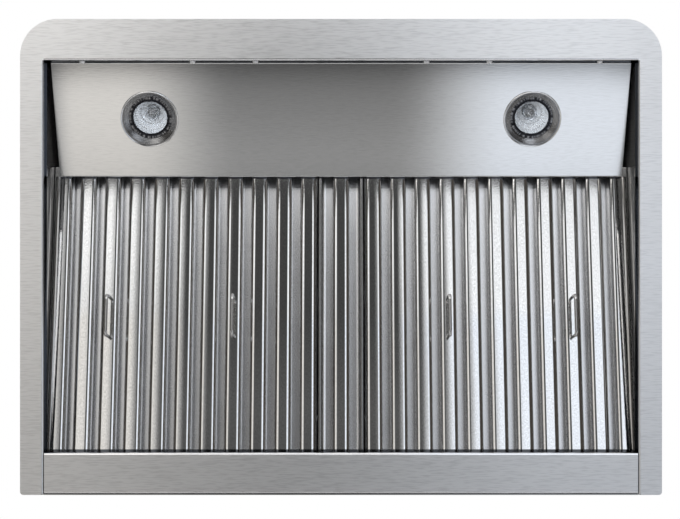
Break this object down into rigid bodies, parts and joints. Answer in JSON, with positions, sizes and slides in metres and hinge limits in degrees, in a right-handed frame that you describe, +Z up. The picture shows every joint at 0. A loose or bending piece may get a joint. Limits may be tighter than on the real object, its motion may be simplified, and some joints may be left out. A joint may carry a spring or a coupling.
{
  "type": "range hood",
  "caption": "Under-cabinet range hood in brushed steel: sloped light panel with recessed lamps, lift-out baffle filters, blower, damper collar and push buttons.",
  "frame": {"origin": "centre of the cabinet screw holes, on the top face of the top panel", "axes": "+X to the right seen from the front, +Y to the wall, +Z up"},
  "size_m": [0.762, 0.5655, 0.339],
  "materials": {
    "brushed_shell": "brushed stainless sheet with its grain along X",
    "plain_sheet": "plain stainless sheet, mill finish",
    "bright_baffle": "bright roll-formed stainless",
    "filter_frame": "folded stainless channel, fine grain",
    "handle_wire": "polished stainless wire",
    "screw_steel": "bright pan-head screws",
    "lamp_trim": "turned satin trim ring",
    "dark_ring": "black spring ring",
    "bulb_mirror": "faceted reflector bowl",
    "bulb_glass": "frosted lamp capsule",
    "socket_ceramic": "white ceramic",
    "lamp_can": "drawn aluminium",
    "galvanised": "galvanised sheet with a faint spangle",
    "motor_black": "black enamel",
    "shaft_steel": "ground bar",
    "capacitor_case": "off-white moulded case",
    "black_plastic": "fine-grained moulding",
    "board_green": "coated laminate",
    "button_metal": "satin plated caps"
  },
  "bodies": {
    "hood": {"front_lip_band": "brushed_shell", "canopy_body": "brushed_shell", "rim_frame": "brushed_shell", "rear_gutter": "brushed_shell", "light_panel": "brushed_shell", "back_panel": "plain_sheet", "top_panel": "plain_sheet", "side_liner_left": "plain_sheet", "side_liner_right": "plain_sheet", "centre_strip_baffles": "bright_baffle", "centre_strip_frame": "filter_frame", "front_screws": "screw_steel", "collar_screws": "screw_steel", "inner_screws": "screw_steel", "lamp_trim_left": "lamp_trim", "lamp_trim_right": "lamp_trim", "lamp_retainer_left": "dark_ring", "lamp_retainer_right": "dark_ring", "bulb_reflector_left": "bulb_mirror", "bulb_reflector_right": "bulb_mirror", "bulb_capsule_left": "bulb_glass", "bulb_capsule_right": "bulb_glass", "lamp_socket_left": "socket_ceramic", "lamp_socket_right": "socket_ceramic", "lamp_can_left": "lamp_can", "lamp_can_right": "lamp_can", "scroll_wrap": "galvanised", "scroll_side_left": "galvanised", "scroll_side_right": "galvanised", "motor_bracket": "galvanised", "capacitor_clip": "galvanised", "duct_collar": "galvanised", "wiring_box": "galvanised", "wiring_cover": "galvanised", "motor_body": "motor_black", "damper_pin": "shaft_steel", "capacitor": "capacitor_case", "wiring_bushing": "black_plastic", "control_bezel": "black_plastic", "control_housing": "black_plastic", "control_board": "board_green"},
    "filter_left": {"filter_left_frame": "filter_frame", "filter_left_lower_baffles": "bright_baffle", "filter_left_upper_baffles": "bright_baffle", "filter_left_handles": "handle_wire"},
    "filter_right": {"filter_right_frame": "filter_frame", "filter_right_lower_baffles": "bright_baffle", "filter_right_upper_baffles": "bright_baffle", "filter_right_handles": "handle_wire"},
    "fan_rotor": {"impeller": "galvanised", "motor_shaft": "shaft_steel"},
    "damper_front": {"damper_flap_front": "galvanised"},
    "damper_rear": {"damper_flap_rear": "galvanised"},
    "lamp_button": {"button_lamp": "button_metal"},
    "low_button": {"button_low": "button_metal"},
    "medium_button": {"button_medium": "button_metal"},
    "high_button": {"button_high": "button_metal"},
    "stop_button": {"button_stop": "button_metal"}
  },
  "joints": [
    {"name": "filter_left_slide", "type": "slide", "parent": "hood", "child": "filter_left", "axis": [0, -0.9854, 0.1702], "range_m": [0, 0.018]},
    {"name": "filter_right_slide", "type": "slide", "parent": "hood", "child": "filter_right", "axis": [0, -0.9854, 0.1702], "range_m": [0, 0.018]},
    {"name": "fan_spin", "type": "hinge", "parent": "hood", "child": "fan_rotor", "pos_m": [0, -0.06003, -0.08], "axis": [1, 0, 0], "continuous": true},
    {"name": "damper_front_swing", "type": "hinge", "parent": "hood", "child": "damper_front", "pos_m": [0, 0.01, 0.014], "axis": [-1, 0, 0], "range_deg": [0, 80]},
    {"name": "damper_rear_swing", "type": "hinge", "parent": "hood", "child": "damper_rear", "pos_m": [0, 0.01, 0.014], "axis": [1, 0, 0], "range_deg": [0, 80]},
    {"name": "lamp_button_press", "type": "slide", "parent": "hood", "child": "lamp_button", "axis": [0, 1, 0], "range_m": [0, 0.0025], "stiffness_N_per_m": 400, "springref_m": -0.002},
    {"name": "low_button_press", "type": "slide", "parent": "hood", "child": "low_button", "axis": [0, 1, 0], "range_m": [0, 0.0025], "stiffness_N_per_m": 400, "springref_m": -0.002},
    {"name": "medium_button_press", "type": "slide", "parent": "hood", "child": "medium_button", "axis": [0, 1, 0], "range_m": [0, 0.0025], "stiffness_N_per_m": 400, "springref_m": -0.002},
    {"name": "high_button_press", "type": "slide", "parent": "hood", "child": "high_button", "axis": [0, 1, 0], "range_m": [0, 0.0025], "stiffness_N_per_m": 400, "springref_m": -0.002},
    {"name": "stop_button_press", "type": "slide", "parent": "hood", "child": "stop_button", "axis": [0, 1, 0], "range_m": [0, 0.0025], "stiffness_N_per_m": 400, "springref_m": -0.002}
  ]
}
